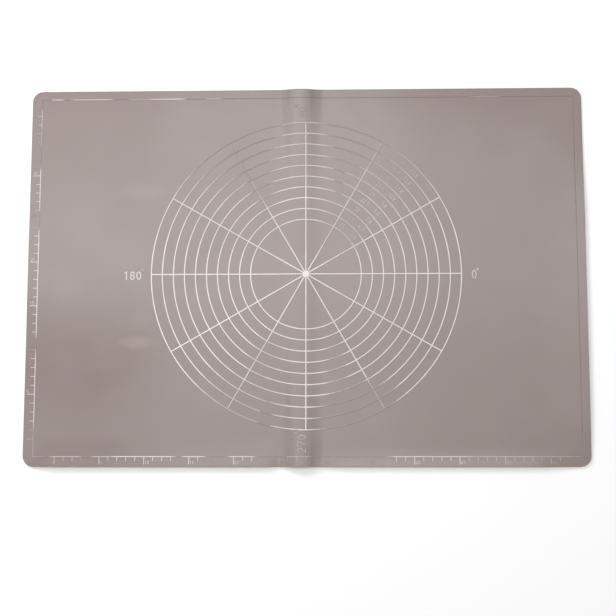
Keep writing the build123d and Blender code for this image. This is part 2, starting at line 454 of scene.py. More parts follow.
@dataclass(frozen=True)
class Fold:
    """The hinge that stands for the mat bending along its ridge."""

    line: float
    half_reach: float = 9 * MM

    def carry(self, piece: bpy.types.Object) -> None:
        """Makes a piece move with the half that it lies on; a piece that crosses the fold stays where it is, its
        transform baked into its mesh.

        Args:
            piece: a finished piece in its place.
        """
        low, high = self.line - self.half_reach, self.line + self.half_reach
        places = [vertex.co.x for vertex in piece.data.vertices]
        if max(places) <= low:
            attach(piece, Body.LEFT.value)
        elif min(places) >= high:
            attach(piece, Body.RIGHT.value)
        else:
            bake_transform(piece)


# Finishes


@dataclass(frozen=True)
class Spot:
    """A soft patch on the mat, round or long, in millimetres from the rings' centre.

    A negative depth takes that share away from the patches listed before it.
    """

    place: Pair
    reach: Pair
    turn: float = 0.0
    depth: float = 1.0
    softness: float = 0.5


# Where the rings, rays and their numbers are worn away
WORN_PRINT = (
    Spot((-10, 167), (215, 71), 5, 0.96, 0.5),
    Spot((117, 209), (165, 120), 46, 0.82, 0.75),
    Spot((-54, 116), (19, 41), 14, 0.91, 0.43),
    Spot((42, 52), (40, 30), 45, 0.6, 0.5),
    Spot((-47, -98), (18, 34), -25, 0.45, 0.4),
    Spot((0, 120), (230, 100), 0, 0.3, 0.2),
    Spot((-4, 125), (33, 58), 0, -0.55, 0.3),
    Spot((38, 120), (8, 36), 0, 0.9, 0.45),
    Spot((-75, 130), (9, 32), 30, 1.12, 0.3),
    Spot((57, -152), (52, 31), 23, 0.9, 0.3),
    Spot((-46, -163), (9, 22), -12, 0.93, 0.3),
    Spot((-76, -143), (26, 11), -26, 0.4, 0.5),
    Spot((34, -110), (12, 43), 3, 0.7, 0.6),
    Spot((-155, -260), (75, 183), -41, 0.66, 0.3),
    Spot((110, -60), (130, 120), 0, 0.24, 0.6),
    Spot((-5, -193), (16, 14), 0, 0.76, 0.3),
    Spot((-11.5, -179.5), (5, 5), 0, 0.86, 0.3),
    Spot((-5, 193), (16, 14), 0, 0.9, 0.3),
    Spot((191, 0), (12, 12), 0, 0.45, 0.3),
    Spot((196.5, 5.5), (4, 4), 0, 0.75, 0.3),
    Spot((-196, 0), (13, 9), 0, 0.2, 0.3),
    Spot((-183.5, 5.5), (4, 4), 0, 0.7, 0.3),
)

# Where the frame line and the rulers still show: place along the edge, half length, depth and softness
KEPT_NEAR = (
    (-268, 18, 0.55, 0.3),
    (-228, 11, 0.6, 0.3),
    (-182, 36, 1.0, 0.2),
    (-125, 13, 0.95, 0.3),
    (-71, 15, 0.8, 0.3),
    (-8, 14, 0.4, 0.4),
    (136, 44, 0.8, 0.15),
    (212, 45, 0.5, 0.3),
    (265, 35, 0.35, 0.4),
)
KEPT_LEFT = (
    (182, 11, 0.55, 0.3),
    (162, 13, 0.3, 0.3),
    (99, 24, 0.9, 0.2),
    (-9, 62, 1.0, 0.12),
    (-129, 42, 0.9, 0.2),
    (-187, 22, 0.3, 0.3),
)
KEPT_FAR = (
    (-287, 7, 0.8, 0.3),
    (-247, 22, 0.7, 0.3),
    (-192, 12, 0.35, 0.3),
    (-160, 20, 0.9, 0.25),
    (-107, 9, 0.35, 0.3),
    (204, 15, 0.25, 0.4),
)
KEPT_PRINT = (
    Spot((0, -212), (400, 40), 0, 0.1, 0.2),
    *(Spot((x, -207), (half, 30), 0, depth, softness) for x, half, depth, softness in KEPT_NEAR),
    Spot((-312, -20), (40, 240), 0, 0.1, 0.2),
    *(Spot((-307, y), (30, half), 0, depth, softness) for y, half, depth, softness in KEPT_LEFT),
    *(Spot((x, 205), (half, 30), 0, depth, softness) for x, half, depth, softness in KEPT_FAR),
)

# Faint lighter patches painted into the silicone's colour
LIGHTER_PATCHES = (
    Spot((-187, 96), (21, 7), 0, 0.45, 0.8),
    Spot((-192, -77), (16, 6), 0, 1.0, 0.6),
    Spot((-187, -53), (9, 6), 0, 0.4, 0.8),
)


@dataclass
class FinishKit:
    """The shader groups that the finishes share, each built once, with patches placed from the rings' centre."""

    print_centre: Pair
    grain_detail: float = 3.0
    coarse_detail: float = 2.0
    cloud_detail: float = 4.0
    cloud_edges: Pair = (0.3, 0.7)
    rag_detail: float = 2.0

    def __post_init__(self) -> None:
        """Builds the groups."""
        self.grain = self._grain()
        self.clouds = self._clouds()
        self.worn = self._patches("Worn print", WORN_PRINT)
        self.kept = self._patches("Kept print", KEPT_PRINT)
        self.rubbed = self._patches("Lighter patches", LIGHTER_PATCHES)

    def _grain(self) -> bpy.types.NodeTree:
        """Builds a fine matt grain.

        Returns:
            A group that puts out the grain's height.
        """
        specs = size_sockets({"Grains per metre": 1200.0, "Coarse share": 0.3, "Coarse scale": 0.12})
        tree = Group("Fine grain", "ShaderNodeTree", specs, SocketSpec("Height", "NodeSocketFloat"))
        place, at = tree.flat_place(), tree.inputs
        fine = tree.noise(place, at["Grains per metre"], self.grain_detail)
        broad = tree.math("MULTIPLY", at["Grains per metre"], at["Coarse scale"])
        coarse = tree.noise(place, broad, self.coarse_detail)
        return tree.give(tree.math("ADD", fine, tree.math("MULTIPLY", coarse, at["Coarse share"])))

    def _clouds(self) -> bpy.types.NodeTree:
        """Builds broad soft clouds.

        Returns:
            A group that puts out the clouds as a mask.
        """
        specs = size_sockets({"Clouds per metre": 9.0, "Seed": 0.0})
        tree = Group("Soft clouds", "ShaderNodeTree", specs, SocketSpec("Mask", "NodeSocketFloat"))
        at = tree.inputs
        noise = tree.noise(tree.flat_place(), at["Clouds per metre"], self.cloud_detail, at["Seed"])
        return tree.give(tree.ramp(noise, self.cloud_edges, (0.0, 1.0)))

    def _patches(self, name: str, spots: Sequence[Spot]) -> bpy.types.NodeTree:
        """Builds soft patches with ragged edges.

        Args:
            name: what the group is called.
            spots: the patches.

        Returns:
            A group that puts out a mask, which is 0 away from the patches.
        """
        specs = size_sockets({"Raggedness": 0.3, "Rags per metre": 140.0})
        tree = Group(name, "ShaderNodeTree", specs, SocketSpec("Mask", "NodeSocketFloat"))
        place, at = tree.flat_place(), tree.inputs
        noise = tree.noise(place, at["Rags per metre"], self.rag_detail)
        ragged = tree.math("MULTIPLY", tree.math("SUBTRACT", noise, 0.5), at["Raggedness"])
        mask: Feed = 0.0
        for spot in spots:
            feeds = {
                "Vector": place,
                "Location": (*(c + s * MM for c, s in zip(self.print_centre, spot.place)), 0.0),
                "Rotation": (0.0, 0.0, math.radians(spot.turn)),
                "Scale": (spot.reach[0] * MM, spot.reach[1] * MM, 1.0),
            }
            turned = tree.out("ShaderNodeMapping", feeds, vector_type="TEXTURE")
            away = tree.add("ShaderNodeVectorMath", {0: turned}, operation="LENGTH").outputs["Value"]
            near = tree.math("ADD", away, ragged)
            level = tree.ramp(near, (1.0 - spot.softness, 1.0 + spot.softness), (spot.depth, 0.0))
            if spot.depth < 0:
                mask = tree.math("MULTIPLY", mask, tree.math("ADD", level, 1.0))
            else:
                mask = tree.math("MAXIMUM", mask, level)
        return tree.give(mask)


def new_material(name: str) -> tuple[bpy.types.Material, TreeBuilder, bpy.types.Node]:
    """Makes an empty node material.

    Args:
        name: the material's name.

    Returns:
        The material, a builder for its tree, and its Principled BSDF.
    """
    material = bpy.data.materials.new(name)
    material.use_nodes = True
    material.node_tree.nodes.clear()
    tree = TreeBuilder(material.node_tree)
    shader = tree.add("ShaderNodeBsdfPrincipled")
    tree.add("ShaderNodeOutputMaterial", {"Surface": shader.outputs[0]})
    return material, tree, shader


@dataclass(frozen=True)
class Grain:
    """A matt grain in a surface: how fine it is, how much of it is coarse and how deep it goes."""

    per_metre: float
    coarse_share: float
    depth: float = 0.015 * MM

    def roughen(self, kit: FinishKit, tree: TreeBuilder, shader: bpy.types.Node) -> None:
        """Gives a material's Principled BSDF the grain as a bump.

        Args:
            kit: the shared shader groups.
            tree: the material's tree.
            shader: its Principled BSDF.
        """
        height = tree.group(kit.grain, {"Grains per metre": self.per_metre, "Coarse share": self.coarse_share})
        bump = tree.out("ShaderNodeBump", {"Distance": self.depth, "Height": height})
        tree.join(bump, shader, "Normal")


@dataclass(frozen=True)
class Clouds:
    """Soft clouds in a finish: how many there are to a metre, and their seed."""

    per_metre: float
    seed: float

    def mask(self, kit: FinishKit, tree: TreeBuilder) -> Socket:
        """Places the clouds in a material."""
        return tree.group(kit.clouds, {"Clouds per metre": self.per_metre, "Seed": self.seed})


@dataclass(frozen=True)
class SiliconeFinish:
    """Taupe silicone with a fine matt grain and a soft broad gloss."""

    dark: Triple = (0.230, 0.183, 0.174)
    light: Triple = (0.244, 0.196, 0.186)
    rubbed: Triple = (0.285, 0.234, 0.222)
    tint: Clouds = Clouds(7.0, seed=1.0)
    rub_raggedness: float = 0.5
    smooth: float = 0.14
    rough: float = 0.21
    gloss: Clouds = Clouds(23.0, seed=4.0)
    specular: float = 0.5
    grain: Grain = Grain(1300.0, coarse_share=0.5)

    def material(self, kit: FinishKit) -> bpy.types.Material:
        """Builds the material.

        Args:
            kit: the shared shader groups.

        Returns:
            The silicone's material.
        """
        material, tree, shader = new_material("Taupe silicone")
        colour = tree.mix_colours(self.tint.mask(kit, tree), self.dark, self.light)
        # Faint lighter patches are painted into the silicone's colour here
        rubbed = tree.group(kit.rubbed, {"Raggedness": self.rub_raggedness})
        tree.join(tree.mix_colours(rubbed, colour, self.rubbed), shader, "Base Color")
        ends = (self.smooth, self.rough)
        tree.join(tree.ramp(self.gloss.mask(kit, tree), (0.0, 1.0), ends, smooth=False), shader, "Roughness")
        self.grain.roughen(kit, tree, shader)
        shader.inputs["Specular IOR Level"].default_value = self.specular
        return material


class Zone(Enum):
    """The two parts of the print, which are worn in their own ways."""

    MIDDLE = "rings, rays and their numbers"
    EDGES = "frame line and rulers"


@dataclass(frozen=True)
class InkFinish:
    """White silicone ink that lies on the sheet and is worn away in places. Where the frame line's ink is worn
    away, a colour darker than the silicone paints the shade of a groove.
    """

    name: str
    zone: Zone
    # Colour where the ink is worn away; for the frame line it is darker than the silicone, as painted groove shade
    gone: Triple = (0.242, 0.194, 0.184)
    wear: float = 1.0
    strength: float = 1.0
    thinnest: float = 0.85
    thin: Clouds = Clouds(60.0, seed=7.0)
    fresh: Triple = (0.80, 0.76, 0.735)
    roughness: float = 0.45
    bare_roughness: float = 0.175
    worn_raggedness: float = 0.35
    kept_raggedness: float = 0.2
    grain: Grain = Grain(900.0, coarse_share=0.3)

    def material(self, kit: FinishKit) -> bpy.types.Material:
        """Builds the material.

        Args:
            kit: the shared shader groups.

        Returns:
            The ink's material.
        """
        material, tree, shader = new_material(self.name)
        if self.zone is Zone.MIDDLE:
            worn = tree.group(kit.worn, {"Raggedness": self.worn_raggedness})
            left = tree.math("SUBTRACT", 1.0, tree.math("MULTIPLY", worn, self.wear))
        else:
            left = tree.group(kit.kept, {"Raggedness": self.kept_raggedness})
        ends = (self.thinnest * self.strength, self.strength)
        cover = tree.ramp(self.thin.mask(kit, tree), (0.0, 1.0), ends, smooth=False)
        shown = tree.math("MULTIPLY", left, cover)
        # Worn places take the bare colour, which for the frame line is painted groove shade
        tree.join(tree.mix_colours(shown, self.gone, self.fresh), shader, "Base Color")
        tree.join(tree.mix(shown, self.bare_roughness, self.roughness), shader, "Roughness")
        self.grain.roughen(kit, tree, shader)
        return material


@dataclass(frozen=True)
class TableFinish:
    """The plain white table top."""

    colour: Triple = (0.90, 0.90, 0.90)
    roughness: float = 0.9
    specular: float = 0.1

    def material(self) -> bpy.types.Material:
        """Builds the material.

        Returns:
            The table's material.
        """
        material, _, shader = new_material("White table")
        shader.inputs["Base Color"].default_value = (*self.colour, 1.0)
        shader.inputs["Roughness"].default_value = self.roughness
        shader.inputs["Specular IOR Level"].default_value = self.specular
        return material


# The sheet


@dataclass
class Sheet:
    """The silicone sheet: one piece, with round corners and a rounded rim."""

    lie: Lie
    lay: bpy.types.NodeTree
    material: bpy.types.Material
    corner_radius: float = 12 * MM
    rim_radius: float = 0.34 * MM
    rim_steps: int = 3
    rim_angle: float = 50.0
    shading_weight: int = 100
    columns: int = 260
    rows: int = 112
    even_columns_share: float = 0.35
    even_rows_share: float = 0.2
    columns_power: float = 3.0

    def build(self) -> bpy.types.Object:
        """Builds the sheet.

        Returns:
            The finished piece, in its place.
        """
        piece = carrier("silicone_sheet", self._tree(), self.material)
        solid = piece.modifiers.new("Thickness", "SOLIDIFY")
        solid.thickness = self.lie.thickness
        solid.offset = -1.0
        rim = piece.modifiers.new("Rim", "BEVEL")
        rim.width = self.rim_radius
        rim.segments = self.rim_steps
        rim.limit_method = "ANGLE"
        rim.angle_limit = math.radians(self.rim_angle)
        rim.use_clamp_overlap = False
        piece.modifiers.new("Even shading", "WEIGHTED_NORMAL").weight = self.shading_weight
        return settled(piece)

    def _tree(self) -> bpy.types.NodeTree:
        """Builds the sheet's upper face: a grid, closer over the fold and at the rim, drawn into the round corners.

        Returns:
            The tree, which lays it on the table.
        """
        sizes = {
            "Length": self.lie.length,
            "Width": self.lie.width,
            "Thickness": self.lie.thickness,
            "Corner radius": self.corner_radius,
            "Even columns share": self.even_columns_share,
            "Even rows share": self.even_rows_share,
            "Columns power": self.columns_power,
            "Columns": self.columns,
            "Rows": self.rows,
        }
        tree = ShapeTree("Silicone sheet", sizes)
        at = tree.inputs
        counts = {"Vertices X": at["Columns"], "Vertices Y": at["Rows"]}
        grid = tree.out("GeometryNodeMeshGrid", {"Size X": 2.0, "Size Y": 2.0, **counts})
        place = tree.out("GeometryNodeInputPosition")
        u, v = tree.add("ShaderNodeSeparateXYZ", {0: place}).outputs[:2]
        across = tree.mix(at["Even columns share"], tree.math("POWER", u, at["Columns power"]), u)
        sine = tree.math("SINE", tree.math("MULTIPLY", v, math.pi / 2))
        half_width = tree.math("MULTIPLY", at["Width"], 0.5)
        y = tree.math("MULTIPLY", tree.mix(at["Even rows share"], sine, v), half_width)
        radius = at["Corner radius"]
        into = tree.math("SUBTRACT", tree.math("ABSOLUTE", y), tree.math("SUBTRACT", half_width, radius))
        share = tree.math("DIVIDE", tree.math("MAXIMUM", into, 0.0), radius)
        left = tree.math("SUBTRACT", 1.0, tree.math("POWER", share, 2.0))
        rest = tree.math("SQRT", tree.math("MAXIMUM", left, 0.0))
        drawn_in = tree.math("MULTIPLY", radius, tree.math("SUBTRACT", 1.0, rest))
        reach = tree.math("SUBTRACT", tree.math("MULTIPLY", at["Length"], 0.5), drawn_in)
        spot = tree.xyz(tree.math("MULTIPLY", across, reach), y, at["Thickness"])
        flat = tree.out("GeometryNodeSetPosition", {0: grid, "Position": spot})
        laid = tree.group(self.lay, {"Geometry": flat})
        return tree.dressed(tree.out("GeometryNodeSetShadeSmooth", {0: laid}))


# The print


def arc(middle: Pair, reach: Pair, start: float, end: float, steps: int = 24) -> Path:
    """Points on an ellipse, of half width and half height reach, from one angle to another in degrees."""
    turns = [math.radians(start + (end - start) * i / steps) for i in range(steps + 1)]
    return [(middle[0] + reach[0] * math.cos(t), middle[1] + reach[1] * math.sin(t)) for t in turns]


@dataclass(frozen=True)
class Digits:
    """Plain digits as strokes, drawn one unit high."""

    width: float = 0.56
    stroke: float = 0.13
    gap: float = 0.16
    mark_gap: float = 1.2

    def strokes(self, digit: str) -> list[Path]:
        """The centre lines of one digit's strokes, its lower left corner at the origin.

        Args:
            digit: a figure or a point.

        Returns:
            Its strokes.
        """
        w, h = self.width, self.stroke / 2
        left, right, low, high, middle = h, w - h, h, 1 - h, w / 2
        side = middle - h
        loop_half = (1 - 2 * h) / 4
        upper, lower = (middle, high - loop_half), (middle, low + loop_half)
        bowl, bowl_half = (middle, low + 0.25), 0.25
        shapes: dict[str, list[Path]] = {
            ".": [[(h, 0.0), (h, self.stroke)]],
            "0": [arc((middle, 0.5), (side, 0.5 - h), 90, 450, 40)],
            "1": [[(0.2 * w, 0.76), (0.58 * w, high - 0.01)], [(0.58 * w, 0.0), (0.58 * w, 1.0)]],
            "2": [arc(upper, (side, loop_half), 165, -35) + [(left, low)], [(0.0, low), (w, low)]],
            "3": [arc(upper, (side, loop_half), 150, -90), arc(lower, (side, loop_half), 90, -150)],
            "4": [[(0.72 * w, 0.0), (0.72 * w, 1.0)], [(0.68 * w, high), (left, 0.29)], [(0.0, 0.26), (w, 0.26)]],
            "5": [
                [(right, high), (0.14 * w, high)],
                [(0.16 * w, high), (0.12 * w, 0.48)],
                arc(bowl, (side, bowl_half), 140, -150),
            ],
            "6": [
                arc(bowl, (side, bowl_half), 0, 360),
                arc((middle + 0.04, 0.46), (side + 0.04, 0.54 - h), 60, 185),
            ],
            "7": [[(0.0, high), (w, high)], [(right, high), (0.34 * w, 0.0)]],
            "8": [arc(upper, (side * 0.92, loop_half), 0, 360), arc(lower, (side, loop_half), 0, 360)],
        }
        if digit == "9":
            return [[(w - x, 1 - y) for x, y in path] for path in self.strokes("6")]
        return shapes[digit]

    def advance(self, digit: str) -> float:
        """How far the next digit starts from this one's start."""
        return (self.stroke if digit == "." else self.width) + self.gap

    def length(self, text: str) -> float:
        """How long a number is."""
        return sum(self.advance(digit) for digit in text) - self.gap


@dataclass(frozen=True)
class Number:
    """A plain number on the mat. Its place is its lower left corner, about which it is turned, in degrees."""

    text: str
    height: float
    place: Pair
    turn: float = 0.0

    def paths(self, digits: Digits) -> list[Path]:
        """The centre lines of all its strokes, in their places on the mat.

        Args:
            digits: how its digits are drawn.

        Returns:
            One path for each stroke.
        """
        flat: list[Path] = []
        start = 0.0
        for digit in self.text:
            flat += [[(start + x, y) for x, y in path] for path in digits.strokes(digit)]
            start += digits.advance(digit)
        return [self._placed(path) for path in flat]

    def degree_mark(self, digits: Digits, diameter: float) -> Path:
        """The small ring that follows an angle, its diameter taken at the middle of its line."""
        half, end = diameter / self.height / 2, digits.length(self.text)
        return self._placed(arc((end + digits.mark_gap * half, 1 + half), (half, half), 0, 360))

    def _placed(self, path: Path) -> Path:
        """Puts a stroke in its place on the mat, scaled and turned.

        Args:
            path: the stroke, as drawn one unit high.

        Returns:
            The stroke, in metres.
        """
        cos, sin = math.cos(math.radians(self.turn)), math.sin(math.radians(self.turn))
        (left, low), h = self.place, self.height
        return [(left + h * (x * cos - y * sin), low + h * (x * sin + y * cos)) for x, y in path]


@dataclass
class Print:
    """The ink on the sheet. Each set of marks is thin closed bodies that lie as the sheet does."""

    lie: Lie
    lay: bpy.types.NodeTree
    ink: bpy.types.Material
    ray_ink: bpy.types.Material
    frame_ink: bpy.types.Material
    ruler_ink: bpy.types.Material
    centre: Pair
    ink_height: float = 0.15 * MM
    crossing_drop: float = 0.02 * MM
    sunk: float = 0.05 * MM
    side_slope: float = 0.07 * MM
    steepest_share: float = 1 / 6
    same_spot: float = 0.001 * MM
    step: float = 2.0 * MM
    line_width: float = 1.3 * MM
    ring_count: int = 10
    smallest_ring_diameter: float = 125 * MM
    ring_diameter_step: float = 25 * MM
    ring_points: int = 720
    ray_count: int = 12
    ray_overlap: float = 0.3 * MM
    dot_diameter: float = 7 * MM
    dot_points: int = 48
    dot_rings: int = 4
    frame_inset: float = 10.5 * MM
    frame_line_width: float = 0.9 * MM
    unit: float = 10 * MM
    long_every: int = 5
    bottom_units: int = 56
    side_units: int = 37
    mark_length: float = 4.5 * MM
    mark_width: float = 0.7 * MM
    long_mark_length: float = 8 * MM
    long_mark_width: float = 0.9 * MM
    mark_rows: int = 4
    digit_step_share: float = 0.09
    stroke_levels: int = 4
    ruler_digit_height: float = 3.8 * MM
    ruler_digit_gap: float = 0.65 * MM
    ring_digit_height: float = 4.6 * MM
    ring_number_angle: float = 46.0
    ring_number_spread: float = 8.8 * MM
    inch: float = 25.4 * MM
    angle_digit_height: float = 10 * MM
    level_number_gap: float = 11.5 * MM
    level_number_drop: float = 1.2 * MM
    upright_number_gap: float = 5.5 * MM
    upright_number_shift: float = 4.5 * MM
    degree_mark_diameter: float = 2.4 * MM
    degree_mark_share: float = 0.4
    degree_mark_drop: float = 0.03 * MM

    def __post_init__(self) -> None:
        """Builds the group that turns centre lines into ink, and the sizes that follow from the others."""
        self.digits = Digits()
        self.largest_ring_diameter = self.smallest_ring_diameter + (self.ring_count - 1) * self.ring_diameter_step
        self.frame_half = (self.lie.length / 2 - self.frame_inset, self.lie.width / 2 - self.frame_inset)
        self.inked = self._inked_line()

    def build(self) -> list[tuple[bpy.types.Object, list[str]]]:
        """Builds all the marks.

        Returns:
            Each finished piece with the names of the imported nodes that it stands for.
        """
        sides = ("left", "right")
        rings = [f"ring_{i:02d}_{side}" for i in range(1, self.ring_count + 1) for side in sides]
        # The rays at 90 and 270 degrees lie on the fold
        rays = [f"ray_{angle:03d}" for angle in range(0, 360, 360 // self.ray_count) if angle % 180 != 90]
        frame = [f"frame_{name}" for name in ("left", "right", "on_fold")]
        frame += [f"frame_{end}_{side}" for end in ("top", "bottom") for side in sides]
        marks = [f"bottom_ruler_marks_{part}" for part in (*sides, "on_fold")]
        figures = [f"bottom_ruler_numbers_{part}" for part in (*sides, "on_fold")]
        return [
            (self.rings(), [*rings, "rings_on_fold"]),
            (self.rays(), [*rays, "rays_on_fold"]),
            (self.dot(), ["centre_dot"]),
            (self.frame_line(), frame),
            (self.ruler_marks("printed_bottom_ruler", Edge.NEAR, self.bottom_units), marks),
            (self.ruler_marks("printed_side_ruler", Edge.LEFT, self.side_units), ["side_ruler_marks"]),
            (self.ruler_numbers("printed_bottom_ruler_numbers", Edge.NEAR, self.bottom_units), figures),
            (self.ruler_numbers("printed_side_ruler_numbers", Edge.LEFT, self.side_units), ["side_ruler_numbers"]),
            (self.ring_numbers(), ["ring_numbers"]),
            *self.angle_numbers(),
        ]

    def _inked_line(self) -> bpy.types.NodeTree:
        """Builds the group that turns centre lines into raised ink.

        Returns:
            A geometry group: curves in, closed bodies on the sheet out.
        """
        sizes = {
            "Line width": self.line_width,
            "Step": self.step,
            "Ink height": self.ink_height,
            "Sunk": self.sunk,
            "Side slope": self.side_slope,
            "Sheet thickness": self.lie.thickness,
        }
        tree = Group("Inked line", "GeometryNodeTree", [GEOMETRY, *size_sockets(sizes)], GEOMETRY)
        at = tree.inputs
        even = tree.out("GeometryNodeResampleCurve", {0: at["Geometry"], "Length": at["Step"]}, mode="LENGTH")
        top = tree.math("SUBTRACT", at["Line width"], tree.math("MULTIPLY", at["Side slope"], 2.0))
        feeds = {
            "Bottom Width": top,
            "Top Width": at["Line width"],
            "Height": tree.math("ADD", at["Ink height"], at["Sunk"]),
            "Offset": 0.0,
        }
        section = tree.out("GeometryNodeCurvePrimitiveQuadrilateral", feeds, mode="TRAPEZOID")
        feeds = {"Curve": even, "Profile Curve": section, "Fill Caps": True}
        swept = tree.out("GeometryNodeCurveToMesh", feeds)
        middle = tree.math("MULTIPLY", tree.math("SUBTRACT", at["Ink height"], at["Sunk"]), 0.5)
        level = tree.xyz(z=tree.math("ADD", at["Sheet thickness"], middle))
        lifted = tree.out("GeometryNodeSetPosition", {0: swept, "Offset": level})
        return tree.give(tree.group(self.lay, {"Geometry": lifted}))

    def _centred(self, tree: ShapeTree, geometry: Socket) -> Socket:
        """Moves geometry from the origin to the rings' centre."""
        return tree.out("GeometryNodeTransform", {0: geometry, "Translation": (*self.centre, 0.0)})

    def rings(self) -> bpy.types.Object:
        """Builds the sizing rings: a circle on each of a row of points, as large as its number says.

        Returns:
            The finished piece.
        """
        sizes = {
            "Rings": self.ring_count,
            "Smallest diameter": self.smallest_ring_diameter,
            "Diameter step": self.ring_diameter_step,
        }
        tree = ShapeTree("Printed rings", sizes)
        at = tree.inputs
        points, number = tree.row(at["Rings"])
        circle = tree.out("GeometryNodeCurvePrimitiveCircle", {"Resolution": self.ring_points, "Radius": 0.5})
        grown = tree.math("MULTIPLY", number, at["Diameter step"])
        diameter = tree.math("ADD", at["Smallest diameter"], grown)
        real = tree.scatter(points, circle, Scale=tree.xyz(diameter, diameter, 1.0))
        tree.dressed(tree.group(self.inked, {"Geometry": self._centred(tree, real)}))
        return settled(carrier("printed_rings", tree.tree, self.ink))

    def rays(self) -> bpy.types.Object:
        """Builds the rays: a line on each of a row of points, turned by its number.

        Returns:
            The finished piece.
        """
        sizes = {
            "Rays": self.ray_count,
            "Start": self.dot_diameter / 2 - self.ray_overlap,
            "Reach": self.largest_ring_diameter / 2,
        }
        tree = ShapeTree("Printed rays", sizes)
        at = tree.inputs
        points, number = tree.row(at["Rays"])
        ends = {"Start": tree.xyz(at["Start"]), "End": tree.xyz(at["Reach"])}
        line = tree.out("GeometryNodeCurvePrimitiveLine", ends)
        turn = tree.math("DIVIDE", tree.math("MULTIPLY", number, math.tau), at["Rays"])
        real = tree.scatter(points, line, Rotation=tree.xyz(z=turn))
        feeds = {"Geometry": self._centred(tree, real), "Ink height": self.ink_height - self.crossing_drop}
        tree.dressed(tree.group(self.inked, feeds))
        return settled(carrier("printed_rays", tree.tree, self.ray_ink))

    def dot(self) -> bpy.types.Object:
        """Builds the dot in which the rays meet.

        Returns:
            The finished piece.
        """
        height = self.ink_height + self.crossing_drop
        sizes = {"Diameter": self.dot_diameter, "Ink height": height, "Sunk": self.sunk}
        tree = ShapeTree("Printed dot", sizes)
        at = tree.inputs
        body = tree.math("ADD", at["Ink height"], at["Sunk"])
        counts = {"Vertices": self.dot_points, "Side Segments": 1, "Fill Segments": self.dot_rings}
        radius = tree.math("MULTIPLY", at["Diameter"], 0.5)
        disc = tree.out("GeometryNodeMeshCylinder", {**counts, "Radius": radius, "Depth": body})
        middle = tree.math("MULTIPLY", tree.math("SUBTRACT", at["Ink height"], at["Sunk"]), 0.5)
        level = tree.xyz(*self.centre, tree.math("ADD", middle, self.lie.thickness))
        lifted = tree.out("GeometryNodeSetPosition", {0: disc, "Offset": level})
        tree.dressed(tree.group(self.lay, {"Geometry": lifted}))
        return settled(carrier("printed_centre_dot", tree.tree, self.ray_ink))

    def _strokes(
        self,
        name: str,
        paths: Sequence[Path],
        width: float,
        step: float,
        material: bpy.types.Material,
        fine_paths: Sequence[Path] = (),
    ) -> bpy.types.Object:
        """Inks a set of centre lines.

        Args:
            name: the piece's name.
            paths: the centre lines. Neighbours in the list get different heights, so that no two tops coincide.
            width: the line's width.
            step: how far apart its sections are.
            material: its finish.
            fine_paths: centre lines of finer strokes.

        Returns:
            The finished piece.
        """
        spots: list[Triple] = []
        shares: list[float] = []
        edges: list[tuple[int, int]] = []
        for number, path in enumerate([*paths, *fine_paths]):
            closed = math.dist(path[0], path[-1]) < self.same_spot
            points = path[:-1] if closed else path
            first, fine = len(spots), number >= len(paths)
            depth = number % self.stroke_levels * self.crossing_drop / 2 + (self.degree_mark_drop if fine else 0.0)
            spots += [(x, y, -depth) for x, y in points]
            shares += [self.degree_mark_share if fine else 1.0] * len(points)
            edges += [(first + i, first + i + 1) for i in range(len(points) - 1)]
            if closed:
                edges.append((len(spots) - 1, first))
        mesh = bpy.data.meshes.new(name + "_lines")
        mesh.from_pydata(spots, edges, [])
        mesh.attributes.new("radius", "FLOAT", "POINT").data.foreach_set("value", shares)
        tree = ShapeTree(f"Strokes of {name}", {"Line width": width, "Step": step}, fed=True)
        curves = tree.out("GeometryNodeMeshToCurve", {0: tree.inputs["Geometry"]})
        sizes = {key: tree.inputs[key] for key in ("Line width", "Step")}
        slope = {"Side slope": min(self.side_slope, width * self.steepest_share)}
        tree.dressed(tree.group(self.inked, {"Geometry": curves, **sizes, **slope}))
        return settled(carrier(name, tree.tree, material, mesh))

    def frame_line(self) -> bpy.types.Object:
        """Builds the line round the print. The long sides take the corners.

        Returns:
            The finished piece.
        """
        (cx, cy), (a, b), w = self.centre, self.frame_half, self.frame_line_width / 2
        paths = [[(cx - a - w, cy + side * b), (cx + a + w, cy + side * b)] for side in (-1, 1)]
        paths += [[(cx + side * a, cy - b + w), (cx + side * a, cy + b - w)] for side in (-1, 1)]
        return self._strokes("printed_frame_line", paths, self.frame_line_width, self.step, self.frame_ink)

    def _ruler(self, edge: Edge, units: int) -> tuple[Pair, Pair, Pair]:
        """Where a ruler starts on the frame line's outer edge, its direction, and which way its marks run.

        Args:
            edge: the edge that the ruler lies along.
            units: its length in centimetres.

        Returns:
            The start, the direction along the ruler and the direction of its marks.
        """
        across, side = edge.value
        outward = self.frame_half[across] + self.frame_line_width / 2
        start = [c - units * self.unit / 2 for c in self.centre]
        start[across] = self.centre[across] + side * outward
        along, out = [0.0, 0.0], [0.0, 0.0]
        along[1 - across], out[across] = 1.0, float(side)
        return tuple(start), tuple(along), tuple(out)

